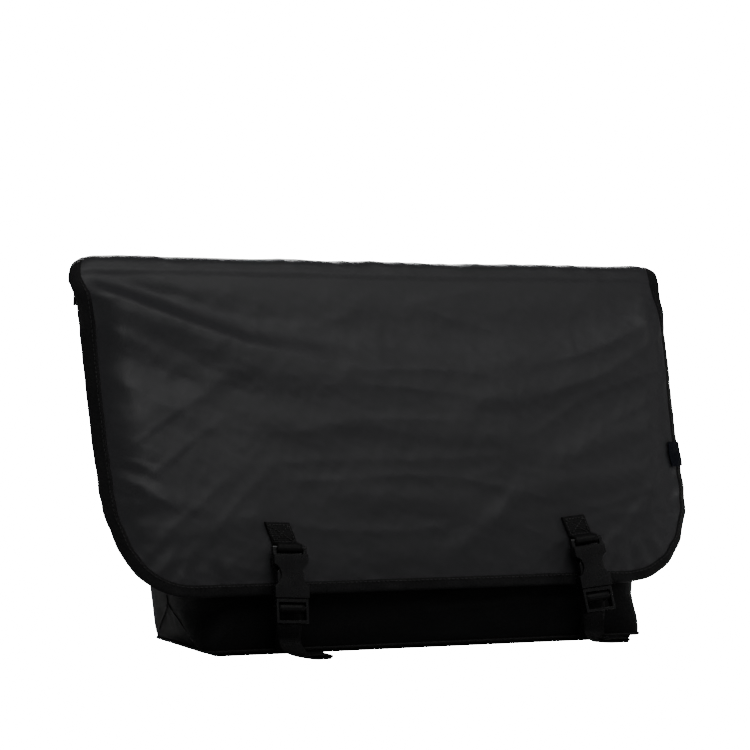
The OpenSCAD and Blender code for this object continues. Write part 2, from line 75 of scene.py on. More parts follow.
BASE = box("bottom_panel")[1]  # half width, half depth and thickness of the base
MOUTH_LO, MOUTH_HI = box("mouth_tape")
BODY_H = MOUTH_LO[2] - 0.2
MOUTH_HALF = MOUTH_HI[0]
CORNER_Z, CORNER_HALF = 43.0, 236.0  # the boxed base corners
FRONT_BULGE, BACK_BULGE = 22.0, 4.0
FLAP_LO, FLAP_HI = box("flap_binding")
FLAP_HALF = FLAP_HI[0]
HEM_Z = FLAP_LO[2]
FLAP_CORNER_R = 85.0
FLAP_T = 3.2  # both layers of the flap
SHELL_T = 1.8
BINDING_W = 11.2
EDGE_CURL = 28.0
HINGE_BACK = joint("flap_hinge")[0]
HINGE_FRONT = joint("flap_fold")[0]
ROOT_END = 50.0  # degrees round the roll where the two hinges are
CROWN_R = (box("crown_shell")[1][2] - HINGE_BACK[2]) / (1 - math.sin(math.radians(ROOT_END)))
CROWN_Y = (HINGE_BACK[1] + HINGE_FRONT[1]) / 2
CROWN_Z = box("crown_shell")[1][2] - CROWN_R
ROOT_Z = box("flap_root")[0][2]
WEB_W, WEB_T = 25.0, 1.6
STRAP_W, STRAP_T = 50.0, 2.0
SIDES = {"left": -1, "right": 1}


def mix(a, b, s):
    return a + (b - a) * s


def clamp(v, lo=0.0, hi=1.0):
    return max(lo, min(hi, v))


def smooth(a, b, v):
    s = clamp((v - a) / (b - a))
    return s * s * (3 - 2 * s)


def bump(d, width):
    """A smooth hump of height 1 at d = 0."""
    return math.exp(-(d / width) ** 2)


def wave(x, y, scale, seed=0.0):
    """Smooth noise from -1 to 1."""
    return noise.noise(Vector((x / scale + seed * 17.3, y / scale - seed * 5.1, seed * 3.7)))


def shown(name, data):
    """An object in the scene."""
    obj = bpy.data.objects.new(name, data)
    bpy.context.scene.collection.objects.link(obj)
    return obj


# ---- mesh tools
def run_length(points):
    """Distance along a line of points, from 0 at its first."""
    return np.concatenate([[0], np.cumsum(np.linalg.norm(np.diff(points, axis=0), axis=1))])


def unit(rows):
    """Rows of vectors, each made 1 long."""
    return rows / np.linalg.norm(rows, axis=1)[:, None]


def ring_faces(rings, count, wrap=False):
    """Faces between rings of count points each. wrap joins the last ring to the first."""
    return [(i * count + k, i * count + (k + 1) % count,
             (i + 1) % rings * count + (k + 1) % count, (i + 1) % rings * count + k)
            for i in range(rings if wrap else rings - 1) for k in range(count)]


def end_faces(rings, count):
    return [tuple(range(count)), tuple((rings - 1) * count + k for k in reversed(range(count)))]


def finish_mesh(name, verts, faces, material, uvs=None, smooth_angle=None):
    """A mesh from points in millimetres. material is a key of MATERIALS; uvs has a pair for each point."""
    mesh = bpy.data.meshes.new(name)
    mesh.from_pydata([tuple(v * MM) for v in np.asarray(verts, float)], [], faces)
    mesh.validate()
    if uvs is not None:
        layer = mesh.uv_layers.new(name="UVMap")
        flat = np.asarray(uvs, float) * MM
        index = np.zeros(len(mesh.loops), int)
        mesh.loops.foreach_get("vertex_index", index)
        layer.data.foreach_set("uv", flat[index].astype(np.float32).ravel())
    bm = bmesh.new()
    bm.from_mesh(mesh)
    bmesh.ops.recalc_face_normals(bm, faces=bm.faces)
    bm.to_mesh(mesh)
    bm.free()
    mesh.polygons.foreach_set("use_smooth", [True] * len(mesh.polygons))
    if smooth_angle:
        mesh.set_sharp_from_angle(angle=math.radians(smooth_angle))
    mesh.materials.append(MATERIALS[material])
    return shown(name, mesh)


def grid_uv(points):
    """Lengths along a grid's rows and columns, in millimetres."""
    p = np.asarray(points, float)
    across = np.concatenate([np.zeros((p.shape[0], 1)),
                             np.cumsum(np.linalg.norm(np.diff(p, axis=1), axis=2), axis=1)], axis=1)
    across -= across[:, -1:] / 2
    along = run_length(p[:, p.shape[1] // 2])
    return np.stack([across, np.repeat(along[:, None], p.shape[1], axis=1)], axis=2)


def slab(name, outer, inner, material):
    """A closed sheet between two grids of points."""
    outer, inner = np.asarray(outer, float), np.asarray(inner, float)
    rows, cols = outer.shape[:2]
    n = rows * cols
    verts = np.concatenate([outer.reshape(-1, 3), inner.reshape(-1, 3)])
    uv = grid_uv(outer).reshape(-1, 2)
    quads = [(i * cols + j, i * cols + j + 1, (i + 1) * cols + j + 1, (i + 1) * cols + j)
             for i in range(rows - 1) for j in range(cols - 1)]
    faces = quads + [tuple(n + k for k in reversed(q)) for q in quads]
    rim = [j for j in range(cols)] + [i * cols + cols - 1 for i in range(1, rows)]
    rim += [(rows - 1) * cols + j for j in range(cols - 2, -1, -1)]
    rim += [i * cols for i in range(rows - 2, 0, -1)]
    faces += [(b, a, n + a, n + b) for a, b in zip(rim, rim[1:] + rim[:1])]
    return finish_mesh(name, verts, faces, material, np.concatenate([uv, uv]), smooth_angle=50)


def tape(name, centres, across, normals, width, thick, material, cols=8):
    """Webbing swept along centres. across is its width's direction and normals its face's."""
    c = np.asarray(centres, float)
    a = unit(np.asarray(across, float))
    n = unit(np.asarray(normals, float))
    s = np.linspace(-1, 1, cols + 1)
    half = width / 2
    edge = thick * 0.5
    # section: the top face, a round edge, the bottom face, and the other round edge
    top = [(half * v - (edge * 0.6 if abs(v) == 1 else 0) * np.sign(v), edge) for v in s]
    section = top + [(half, 0.0)] + [(x, -y) for x, y in reversed(top)] + [(-half, 0.0)]
    m = len(section)
    verts = np.concatenate([[c[i] + x * a[i] + y * n[i] for x, y in section] for i in range(len(c))])
    uv = [(x + (1000 if k > m // 2 else 0), v) for v in run_length(c) for k, (x, y) in enumerate(section)]
    faces = ring_faces(len(c), m) + end_faces(len(c), m)
    return finish_mesh(name, verts, faces, material, uv, smooth_angle=60)


def resample(points, step):
    """The same line with points about step apart, rounded by a Catmull-Rom curve."""
    p = [np.asarray(q, float) for q in points]
    p = [2 * p[0] - p[1]] + p + [2 * p[-1] - p[-2]]
    out = []
    for k in range(1, len(p) - 2):
        n = max(2, int(np.linalg.norm(p[k + 1] - p[k]) / step))
        for i in range(n):
            t = i / n
            out.append(0.5 * (2 * p[k] + (p[k + 1] - p[k - 1]) * t
                              + (2 * p[k - 1] - 5 * p[k] + 4 * p[k + 1] - p[k + 2]) * t * t
                              + (3 * p[k] - p[k - 1] - 3 * p[k + 1] + p[k + 2]) * t ** 3))
    return np.array(out + [p[-2]])


def planar_frames(path, side=(1, 0, 0)):
    """Width and face directions for a tape whose width stays along side."""
    p = np.asarray(path, float)
    t = unit(np.gradient(p, axis=0))
    a = np.tile(np.asarray(side, float), (len(p), 1))
    a -= (a * t).sum(1)[:, None] * t
    return a, np.cross(a, t)


def stitches(name, lines, material, length=3.2, gap=1.3, radius=0.42):
    """Rows of thread. Each line is a list of (point, face normal) along a seam."""
    verts, faces = [], []
    for line in lines:
        pts = np.array([p for p, _ in line], float)
        nrm = np.array([n for _, n in line], float)
        run = run_length(pts)
        at = np.arange(gap, run[-1] - length, length + gap)
        for s in at:
            ends = [np.array([np.interp(v, run, pts[:, k]) for k in range(3)]) for v in (s, s + length)]
            n = np.array([np.interp(s, run, nrm[:, k]) for k in range(3)])
            n /= np.linalg.norm(n) + 1e-9
            t = (ends[1] - ends[0]) / (np.linalg.norm(ends[1] - ends[0]) + 1e-9)
            b = np.cross(t, n)
            base = len(verts)
            for f, r, lift in ((0, 0.55, -0.35), (0.22, 1, 0.1), (0.78, 1, 0.1), (1, 0.55, -0.35)):
                c = mix(ends[0], ends[1], f) + n * lift * radius
                for k in range(6):
                    w = math.pi * k / 3
                    verts.append(c + r * radius * (math.cos(w) * b + 0.8 * math.sin(w) * n))
            for i in range(3):
                for k in range(6):
                    faces.append((base + 6 * i + k, base + 6 * i + (k + 1) % 6,
                                  base + 6 * i + 6 + (k + 1) % 6, base + 6 * i + 6 + k))
            faces.append(tuple(base + k for k in range(6)))
            faces.append(tuple(base + 18 + k for k in reversed(range(6))))
    return finish_mesh(name, verts, faces, material)


def softened(node, name, width, material, segments=3):
    """A CAD piece's mesh, copied, with its sharp edges rounded."""
    source = frame["nodes"][node]
    mesh = source.data.copy()
    mesh.name = name
    mesh.materials.clear()
    mesh.materials.append(MATERIALS[material])
    bm = bmesh.new()
    bm.from_mesh(mesh)
    bmesh.ops.remove_doubles(bm, verts=bm.verts, dist=1e-5)
    bmesh.ops.dissolve_limit(bm, angle_limit=math.radians(2), verts=bm.verts, edges=bm.edges)
    sharp = [e for e in bm.edges if len(e.link_faces) == 2 and e.calc_face_angle(0) > math.radians(32)]
    bmesh.ops.bevel(bm, geom=sharp, offset=width * MM, segments=segments, profile=0.6,
                    affect="EDGES", clamp_overlap=True, harden_normals=False)
    bmesh.ops.recalc_face_normals(bm, faces=bm.faces)
    bm.to_mesh(mesh)
    bm.free()
    mesh.polygons.foreach_set("use_smooth", [True] * len(mesh.polygons))
    mesh.set_sharp_from_angle(angle=math.radians(40))
    return shown(name, mesh)


# ---- materials
def node_material(name, color, rough, sheen=0.0, specular=0.5):
    m = bpy.data.materials.new(name)
    m.use_nodes = True
    tree = m.node_tree
    shader = tree.nodes["Principled BSDF"]
    shader.inputs["Base Color"].default_value = (*color, 1)
    shader.inputs["Roughness"].default_value = rough
    shader.inputs["Specular IOR Level"].default_value = specular
    if sheen:
        shader.inputs["Sheen Weight"].default_value = sheen
        shader.inputs["Sheen Roughness"].default_value = 0.45
    return m, tree, shader


def add(tree, kind, **values):
    """A node with its sockets and properties set. Socket names may be given with underscores."""
    n = tree.nodes.new(kind)
    for key, v in values.items():
        socket = next((i for i in n.inputs if i.name in (key, key.replace("_", " "))), None)
        if socket:
            socket.default_value = v
        else:
            setattr(n, key, v)
    return n


def vary(tree, shader, coords, color, rough, scale, spread=0.25, rough_spread=0.08):
    """Patchy colour and roughness, for cloth that has been handled."""
    patch = add(tree, "ShaderNodeTexNoise", Scale=scale, Detail=4.0, Roughness=0.6)
    tree.links.new(coords, patch.inputs["Vector"])
    ramp = add(tree, "ShaderNodeValToRGB")
    ramp.color_ramp.elements[0].position = 0.3
    ramp.color_ramp.elements[1].position = 0.72
    ramp.color_ramp.elements[0].color = (*[c * (1 - spread) for c in color], 1)
    ramp.color_ramp.elements[1].color = (*[min(1, c * (1 + spread)) for c in color], 1)
    tree.links.new(patch.outputs["Fac"], ramp.inputs["Fac"])
    tree.links.new(ramp.outputs["Color"], shader.inputs["Base Color"])
    spread_map = add(tree, "ShaderNodeMapRange", To_Min=rough - rough_spread, To_Max=rough + rough_spread)
    tree.links.new(patch.outputs["Fac"], spread_map.inputs["Value"])
    tree.links.new(spread_map.outputs["Result"], shader.inputs["Roughness"])
    return ramp


def threads(tree, coords, axis, spacing):
    """A wave along one of the piece's own lengths, with its spacing in millimetres."""
    turn = add(tree, "ShaderNodeMath", operation="MULTIPLY")
    turn.inputs[1].default_value = 2 * math.pi / (spacing * MM)
    tree.links.new(coords.outputs[axis], turn.inputs[0])
    sine = add(tree, "ShaderNodeMath", operation="SINE")
    tree.links.new(turn.outputs[0], sine.inputs[0])
    return sine.outputs[0]


def raise_threads(tree, shader, obj, height, share, grain, detail, strength, depth):
    """Gives a cloth its relief: share of the fine grain's noise, added to the threads' height."""
    fuzz = add(tree, "ShaderNodeTexNoise", Scale=grain, Detail=detail)
    tree.links.new(obj.outputs["Object"], fuzz.inputs["Vector"])
    total = add(tree, "ShaderNodeMath", operation="MULTIPLY_ADD")
    total.inputs[1].default_value = share
    tree.links.new(height, total.inputs[0])
    tree.links.new(fuzz.outputs["Fac"], total.inputs[2])
    relief = add(tree, "ShaderNodeBump", Strength=strength, Distance=depth * MM)
    tree.links.new(total.outputs[0], relief.inputs["Height"])
    tree.links.new(relief.outputs["Normal"], shader.inputs["Normal"])


def own_lengths(tree):
    """The piece's lengths across and along, and its place."""
    uv = add(tree, "ShaderNodeUVMap", uv_map="UVMap")
    split = add(tree, "ShaderNodeSeparateXYZ")
    tree.links.new(uv.outputs["UV"], split.inputs[0])
    return split, add(tree, "ShaderNodeTexCoord")


def cloth(name, color, rough, warp, weft, depth, sheen=0.1, specular=0.4, spread=0.2, rough_spread=0.06):
    """Woven cloth: warp and weft are thread spacings in millimetres."""
    m, tree, shader = node_material(name, color, rough, sheen, specular)
    split, obj = own_lengths(tree)
    product = add(tree, "ShaderNodeMath", operation="MULTIPLY")
    tree.links.new(threads(tree, split, "X", 2 * warp), product.inputs[0])
    tree.links.new(threads(tree, split, "Y", 2 * weft), product.inputs[1])
    raise_threads(tree, shader, obj, product.outputs[0], 0.5, 900.0, 2.0, 0.6, depth)
    vary(tree, shader, obj.outputs["Object"], color, rough, 9.0, spread, rough_spread)
    return m


def ribbed(name, color, rough, rib, depth, sheen=0.15, groove=0.0):
    """Tape or webbing with ribs across it. groove adds lines along it, at that spacing."""
    m, tree, shader = node_material(name, color, rough, sheen, 0.2)
    split, obj = own_lengths(tree)
    height = threads(tree, split, "Y", rib)
    if groove:
        both = add(tree, "ShaderNodeMath", operation="MULTIPLY_ADD")
        both.inputs[1].default_value = 0.7
        tree.links.new(threads(tree, split, "X", groove), both.inputs[0])
        tree.links.new(height, both.inputs[2])
        height = both.outputs[0]
    raise_threads(tree, shader, obj, height, 0.6, 700.0, 3.0, 0.8, depth)
    vary(tree, shader, obj.outputs["Object"], color, rough, 14.0, 0.2, 0.05)
    return m


def moulded(name, color, rough, grain=1500.0, depth=0.05):
    """Moulded plastic with a fine spark-eroded grain."""
    m, tree, shader = node_material(name, color, rough, 0.0, 0.5)
    obj = add(tree, "ShaderNodeTexCoord")
    fine = add(tree, "ShaderNodeTexNoise", Scale=grain, Detail=2.0)
    tree.links.new(obj.outputs["Object"], fine.inputs["Vector"])
    relief = add(tree, "ShaderNodeBump", Strength=0.2, Distance=depth * MM)
    tree.links.new(fine.outputs["Fac"], relief.inputs["Height"])
    tree.links.new(relief.outputs["Normal"], shader.inputs["Normal"])
    vary(tree, shader, obj.outputs["Object"], color, rough, 60.0, 0.12, 0.07)
    return m


MATERIALS = {
    "coated_nylon": cloth("coated_nylon", (0.0205, 0.0205, 0.0228), 0.5, 0.45, 0.45, 0.05, 0.02, 0.36, 0.07,
                          0.05),
    "body_nylon": cloth("body_nylon", (0.0042, 0.0042, 0.0044), 0.6, 0.8, 0.8, 0.14, 0.0, 0.08, 0.22, 0.05),
    "lining": cloth("lining", (0.012, 0.012, 0.013), 0.55, 0.5, 0.5, 0.08, 0.1, 0.3, 0.15),
    "liner_cloth": cloth("liner_cloth", (0.035, 0.036, 0.04), 0.5, 0.6, 0.6, 0.08, 0.1, 0.4, 0.15),
    "foam": cloth("foam", (0.05, 0.05, 0.052), 0.85, 1.5, 1.5, 0.2, 0.0, 0.2, 0.2),
    "label": cloth("label", (0.0035, 0.0045, 0.009), 0.7, 0.4, 0.4, 0.08, 0.0, 0.08, 0.15),
    "binding_tape": ribbed("binding_tape", (0.0042, 0.0042, 0.0046), 0.62, 1.5, 0.22, 0.0),
    "webbing": ribbed("webbing", (0.0034, 0.0034, 0.0036), 0.6, 1.9, 0.16, 0.0, 2.4),
    "wide_webbing": ribbed("wide_webbing", (0.005, 0.005, 0.0054), 0.58, 2.2, 0.22, 0.08, 3.0),
    "dark_thread": moulded("dark_thread", (0.004, 0.004, 0.0043), 0.55, 4000.0, 0.03),
    "thread": moulded("thread", (0.0075, 0.0075, 0.008), 0.5, 4000.0, 0.03),
    "buckle_plastic": moulded("buckle_plastic", (0.0055, 0.0055, 0.006), 0.27, 1500.0, 0.03),
    "ring_plastic": moulded("ring_plastic", (0.01, 0.01, 0.0105), 0.4),
    "board": moulded("board", (0.03, 0.026, 0.022), 0.7, 300.0, 0.2),
}


def place(obj, body, *nodes, blend=None):
    """Hides the CAD nodes that a piece stands for, and hangs the piece under its body's empty; given a blend,
    it instead bakes the piece's place into its points and leaves it unattached, and what blend holds is not
    read.
    """
    if nodes:
        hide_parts(*nodes)
    if blend:
        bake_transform(obj)
    else:
        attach(obj, body)
    return obj


# ---- body surfaces
def half_w(z):
    if z < CORNER_Z:
        return mix(BASE[0], CORNER_HALF, z / CORNER_Z)
    return mix(CORNER_HALF, MOUTH_HALF, clamp((z - CORNER_Z) / (BODY_H - CORNER_Z)))


def front_y(z):
    s = clamp(z / BODY_H)
    return mix(-BASE[1], MOUTH_LO[1], s) - FRONT_BULGE * math.sin(math.pi * s ** 0.75)


def back_y(z):
    s = clamp(z / BODY_H)
    return mix(BASE[1], MOUTH_HI[1], s) + BACK_BULGE * math.sin(math.pi * s)


FLAP_TOP_GAP = MOUTH_LO[1] - (CROWN_Y - CROWN_R)
FLAP_HEM_GAP = 13.0


def curl(x, z):
    share = clamp((abs(x) - half_w(z)) / (FLAP_HALF - half_w(z)))
    return EDGE_CURL * clamp((CROWN_Z - z) / 50) * share ** 2


def flap_y(x, z):
    return front_y(z) - mix(FLAP_HEM_GAP, FLAP_TOP_GAP, clamp(z / BODY_H)) + curl(x, z)


def flap_half(z):
    drop = HEM_Z + FLAP_CORNER_R - z
    if drop <= 0:
        return FLAP_HALF
    return FLAP_HALF - FLAP_CORNER_R + math.sqrt(max(FLAP_CORNER_R ** 2 - drop * drop, 0))


def near_line(x, z, a, b, width):
    """How close (x, z) is to the fold from a to b: 1 on it, fading at its sides and its ends."""
    ax, az, bx, bz = *a, *b
    dx, dz = bx - ax, bz - az
    length = math.hypot(dx, dz)
    t = ((x - ax) * dx + (z - az) * dz) / length ** 2
    d = ((x - ax) * dz - (z - az) * dx) / length
    return bump(d, width) * smooth(-0.15, 0.15, t) * (1 - smooth(0.85, 1.15, t))


# the long fold that falls from the flap's top left corner: points (x, z)
RIDGE = [(-320, 356), (-272, 330), (-204, 303), (-150, 284), (-57, 267), (60, 262), (190, 276), (262, 300),
         (320, 330)]
FOLDS = [  # smaller folds: from, to, half width, height
    ((-296, 262), (-205, 214), 9, 1.3),
    ((-292, 206), (-150, 268), 12, 1.5),
    ((-292, 168), (-246, 142), 7, 1.2),
    ((-290, 300), (-190, 254), 9, 1.5),
    ((-262, 112), (-160, 126), 10, 0.9),
    ((-190, 240), (-70, 188), 14, 1.2),
    ((-130, 218), (120, 196), 12, 1.2),
    ((60, 226), (250, 262), 12, 1.6),
    ((150, 176), (280, 214), 10, 1.6),
    ((120, 150), (290, 160), 13, 1.2),
    ((-90, 150), (60, 132), 12, 1.2),
    ((-280, 152), (-205, 132), 8, 0.9),
    ((40, 92), (112, 146), 10, 1.5),
    ((205, 92), (262, 150), 8, 1.5),
    ((268, 318), (298, 250), 8, 1.6),
]


def crease(x, z, degrees, long, short, seed):
    """Thin irregular creases that run at an angle, from 0 to 1."""
    c, s = math.cos(math.radians(degrees)), math.sin(math.radians(degrees))
    along, over = (x * c + z * s) / long, (-x * s + z * c) / short
    n = noise.noise(Vector((along + seed * 7.7, over - seed * 3.1, seed * 1.9)))
    return (1 - min(1.0, abs(n) * 2.4)) ** 2


def ridge(x, z):
    """The long fold: steep above its crest and broad below it."""
    crest = float(np.interp(x, [a for a, _ in RIDGE], [b for _, b in RIDGE]))
    height = mix(9.5, 4.2, smooth(-240, 80, x)) * mix(1, 0.8, smooth(60, 300, x))
    d = z - crest
    wide = mix(1.0, 1.7, smooth(-240, -20, x))
    if d > 0:
        return height * (bump(d, 9 * wide) - 0.32 * bump(d - 21 * wide, 12 * wide))
    return height * bump(d, 30 * wide)


# where the soft flap's two side edges hang, against the pattern: (height, sideways shift)
LEFT_HANG = [(56, -20), (75, -16.5), (95, -11), (118, -7.5), (150, -10), (200, -12), (285, -11.5), (305, -12),
             (320, -15), (335, -17.5), (350, -22.5)]
RIGHT_HANG = [(60, -16), (90, -14.5), (130, -10), (200, -8.4), (260, -2), (300, 1), (330, -2.5), (350, -6)]


def hang(station, x):
    """How far the soft flap leans to the left, most of all at its top left corner."""
    kind, v = station
    left, right = -8.0, -2.0
    if kind == "front":
        left, right = (float(np.interp(v, *zip(*line))) for line in (LEFT_HANG, RIGHT_HANG))
    elif kind == "roll":
        k = smooth(20, 175, v)
        left, right = mix(-8, -22.5, k), mix(-2, -6, k)
    return mix(left, right, clamp((x / FLAP_HALF + 1) / 2))


def taut(z):
    """How far the pulled cloth bridges the hollow under its roll."""
    return 4.6 * smooth(235, 330, z) - 2.8 * clamp((z - BODY_H) / 6)


@lru_cache(maxsize=None)
def flap_relief(x, z):
    """How far the flap stands proud of its smooth shape at (x, z)."""
    r = ridge(x, z)
    for a, b, width, height in FOLDS:
        r += height * near_line(x, z, a, b, width)
    r += 1.3 * wave(x, z, 95, 1) + 0.5 * wave(x, z, 38, 2)
    left, right = smooth(-90, -230, x), smooth(90, 230, x)
    r += 0.75 * left * crease(x, z, 33, 110, 26, 5) + 1.1 * right * crease(x, z, 24, 120, 30, 6)
    r += 0.8 * (1 - left) * (1 - right) * crease(x, z, -4, 200, 34, 7)
    r += 0.35 * crease(x, z, 62, 40, 14, 8) + 0.3 * crease(x, z, -30, 34, 12, 9)
    # puckers that the sewn binding gathers along the edges
    edge = min(flap_half(z) - abs(x), z - HEM_Z)
    near = math.exp(-max(edge - 8, 0) / 20)
    r += near * (0.9 * wave(x * 1.2, z * 1.2, 17, 3) + 0.5 * wave(x, z, 8, 4))
    # fine rays round the lower corners
    cx, cz = FLAP_HALF - FLAP_CORNER_R, HEM_Z + FLAP_CORNER_R
    if abs(x) > cx - 30 and z < cz + 40:
        ang = math.atan2(cz - z, abs(x) - cx)
        rad = math.hypot(cz - z, abs(x) - cx)
        r += 1.1 * math.sin(ang * 19 + 1.5 * wave(x, z, 40, 10) + (1 if x < 0 else 2.4)) * smooth(34, 78, rad)
    r *= mix(0.25, 1, smooth(CROWN_Z - 3, CROWN_Z - 22, z))
    # the flap lies flat under the sewn webbing
    xw = x + hang(("front", z), x)
    for name in SIDES:
        at = joint(f"{name}_socket_swing")[0]
        r *= 1 - 0.92 * math.exp(-((xw - at[0]) / 20) ** 2 - ((z - at[2] - 13) / 17) ** 2)
    return r


def droop(x):
    """How far the flap's roll sinks at its two free ends."""
    return (9.0 if x < 0 else 6.0) * clamp((abs(x) - (FLAP_HALF - 24)) / 24) ** 2 - 3 * smooth(120, -220, x)


# stations along the flap's profile: ("back", z), ("roll", angle) and ("front", z)
ROOT = [("back", z) for z in np.linspace(ROOT_Z, BODY_H, 6)]
ROLL = [("roll", a) for a in np.linspace(0, 180, 25)]


def front_stations(x_inset):
    top = CROWN_Z - 3
    return [("front", z) for z in np.linspace(top, HEM_Z + x_inset, 118)]


@lru_cache(maxsize=None)
def flap_skin(x, z):
    """A point of the flap's front outer face, and the way into the cloth there."""
    eps = 1.5
    slope = (flap_y(x, z + eps) - flap_y(x, z - eps)) / (2 * eps)
    side = (flap_y(x + eps, z) - flap_y(x - eps, z)) / (2 * eps)
    n = np.array([-side, 1.0, -slope])
    fade = smooth(HEM_Z + 200, CROWN_Z, z)
    skin = np.array([x, flap_y(x, z) - taut(z) - flap_relief(x, z), z - droop(x) * fade])
    return skin, n / np.linalg.norm(n)


def flap_point(station, x, depth):
    """A point of the flap, depth below its outer face."""
    kind, v = station
    lean = np.array([hang(station, x), 0, 0])
    if kind == "back":
        y = back_y(v) + 0.2 + SHELL_T + 0.25 * wave(x, v, 30, 7)
        return lean + np.array([x, y - depth, v - droop(x) * smooth(ROOT_Z, BODY_H, v)])
    if kind == "roll":
        a = math.radians(v)
        r = CROWN_R - depth + (0.8 * wave(x, v, 60, 5) + 0.8 * crease(x, v, 70, 120, 26, 3)) * math.sin(a)
        r += 1.8 * smooth(150, 180, v)
        return lean + np.array([x, CROWN_Y + r * math.cos(a), CROWN_Z + r * math.sin(a) - droop(x)])
    point, inward = flap_skin(float(x), float(v))
    return lean + point + inward * depth


def flap_columns(z, inset, count=184):
    """Column places, closer together where the edges curl."""
    half = flap_half(z) - inset
    s = np.linspace(-1, 1, count + 1)
    return half * (0.82 * s + 0.18 * np.sign(s) * (1 - (1 - np.abs(s)) ** 1.6))


def station_z(station):
    return station[1] if station[0] == "front" else CROWN_Z


def flap_grid(stations, inset, depth):
    return [[flap_point(st, x, depth) for x in flap_columns(station_z(st), inset)] for st in stations]


# the flap's front and back pieces, with the two bodies and the roll places that each would blend between
# (front: flap_crown to flap_front, back: bag to flap_crown); place only bakes these pieces where they stand
def roll_place(angle):
    a = math.radians(angle)
    return (0, (CROWN_Y + CROWN_R * math.cos(a)) * MM, (CROWN_Z + CROWN_R * math.sin(a)) * MM)


FRONT_BLEND = ("flap_crown", "flap_front", roll_place(112), roll_place(150))
BACK_BLEND = ("bag", "flap_crown", roll_place(33), roll_place(66))
SPLIT = 10  # roll stations on the back piece
back_run = ROOT + ROLL[:SPLIT]
front_run = ROLL[SPLIT - 1:] + front_stations(BINDING_W * 0.55)
EDGE = BINDING_W * 0.55

flap_front = slab("flap_outer_front", flap_grid(front_run, EDGE, 0), flap_grid(front_run, EDGE, SHELL_T),
                  "coated_nylon")
flap_back = slab("flap_outer_back", flap_grid(back_run, EDGE, 0), flap_grid(back_run, EDGE, SHELL_T),
                 "coated_nylon")
lining_front = slab("flap_lining_front", flap_grid(front_run, EDGE, SHELL_T + 0.1),
                    flap_grid(front_run, EDGE, FLAP_T), "lining")
lining_run = ROLL[2:SPLIT]
lining_back = slab("flap_lining_back", flap_grid(lining_run, EDGE, SHELL_T + 0.1),
                   flap_grid(lining_run, EDGE, FLAP_T), "lining")
place(flap_front, None, "flap_shell", "crown_shell", blend=FRONT_BLEND)
place(flap_back, None, "flap_root", blend=BACK_BLEND)
place(lining_front, None, "flap_lining", "crown_lining", blend=FRONT_BLEND)
place(lining_back, None, blend=BACK_BLEND)


def cut_size(run, inset):
    """The flat cloth that a piece of the flap is cut from: its width, and the length down its middle."""
    middle = np.array([flap_point(st, 0.0, SHELL_T / 2) for st in run])
    return 2 * (FLAP_HALF - inset) * MM, float(run_length(middle)[-1]) * MM


for piece, run, held, on in ((flap_front, front_run, "hung", "crown_shell"),
                             (lining_front, front_run, "hung", "crown_lining"),
                             (flap_back, back_run, "folded", "back_panel"),
                             (lining_back, lining_run, "folded", "flap_root")):
    cut_size(run, EDGE)


# ---- flap binding
def edge_point(u_in, station=None, corner=None, hem=None, side=1):
    """A point on the flap, u_in inside its edge: on a side, round a lower corner, or on the hem."""
    if station is not None:
        return station, side * (FLAP_HALF - u_in)
    r = FLAP_CORNER_R
    if corner is not None:
        a = math.radians(corner)
        x = FLAP_HALF - r + (r - u_in) * math.cos(a)
        return ("front", HEM_Z + r - (r - u_in) * math.sin(a)), side * x
    return ("front", HEM_Z + u_in), side * hem


def edge_run(stations, with_hem):
    """Places along the flap's edge as functions of the distance inside it."""
    z_corner = HEM_Z + FLAP_CORNER_R
    side = [dict(station=s) for s in stations if s[0] != "front" or s[1] > z_corner]
    if not with_hem:
        return {s: [dict(p, side=s) for p in side] for s in (-1, 1)}
    side += [dict(corner=a) for a in np.linspace(0, 90, 34)]
    hem_half = FLAP_HALF - FLAP_CORNER_R
    left = [dict(p, side=-1) for p in side]
    left += [dict(hem=h, side=-1) for h in np.linspace(hem_half - 4, 4, 54)]
    right = [dict(p, side=1) for p in side]
    right += [dict(hem=h, side=1) for h in np.linspace(hem_half - 4, 4, 54)]
    return left + right[::-1]


def binding(name, run):
    """Tape folded round the edge: its section goes from the front face, round the edge, to the back."""
    lift = 0.75
    section = [(BINDING_W, -0.15), (BINDING_W - 0.4, -lift * 0.8), (BINDING_W * 0.66, -lift),
               (BINDING_W * 0.33, -lift), (1.6, -lift), (0.35, -lift * 0.4), (-0.1, FLAP_T * 0.3),
               (-0.1, FLAP_T * 0.7), (0.35, FLAP_T + lift * 0.4), (1.6, FLAP_T + lift),
               (BINDING_W * 0.5, FLAP_T + lift), (BINDING_W - 0.4, FLAP_T + lift * 0.8),
               (BINDING_W, FLAP_T + 0.1)]
    rows = []
    for place_at in run:
        side = place_at["side"]
        row = []
        for u, d in section:
            st, x = edge_point(u, **place_at)
            row.append(flap_point(st, x, d))
        rows.append(row)
    grid = np.array(rows)
    n_rows, n_cols = grid.shape[:2]
    verts = grid.reshape(-1, 3)
    around = np.concatenate([[0], np.cumsum([math.dist(a, b) for a, b in zip(section, section[1:])])])
    along = run_length(grid[:, 4])
    uv = [(u, v) for v in along for u in around]
    # the fold closes through the flap's edge, so the tape is one closed tube
    faces = ring_faces(n_rows, n_cols) + end_faces(n_rows, n_cols)
    return finish_mesh(name, verts, faces, "binding_tape", uv, smooth_angle=70)


front_edge = binding("flap_binding_front", edge_run(front_run, True))
place(front_edge, None, "flap_binding", blend=FRONT_BLEND)
for label, s in SIDES.items():
    piece = binding(f"flap_binding_back_{label}", edge_run(back_run, False)[s])
    place(piece, None, blend=BACK_BLEND)


def edge_stitch_line(run, inset):
    line = []
    for p in run:
        st, x = edge_point(inset, **p)
        at = flap_point(st, x, -0.95)
        line.append((at, at - flap_point(st, x, 0.5)))
    return line


thread = stitches("flap_edge_stitching",
                  [edge_stitch_line([p for p in edge_run(front_run, True)
                                     if "station" not in p or p["station"][0] == "front"], BINDING_W - 2.2)],
                  "dark_thread")
place(thread, "flap_front")


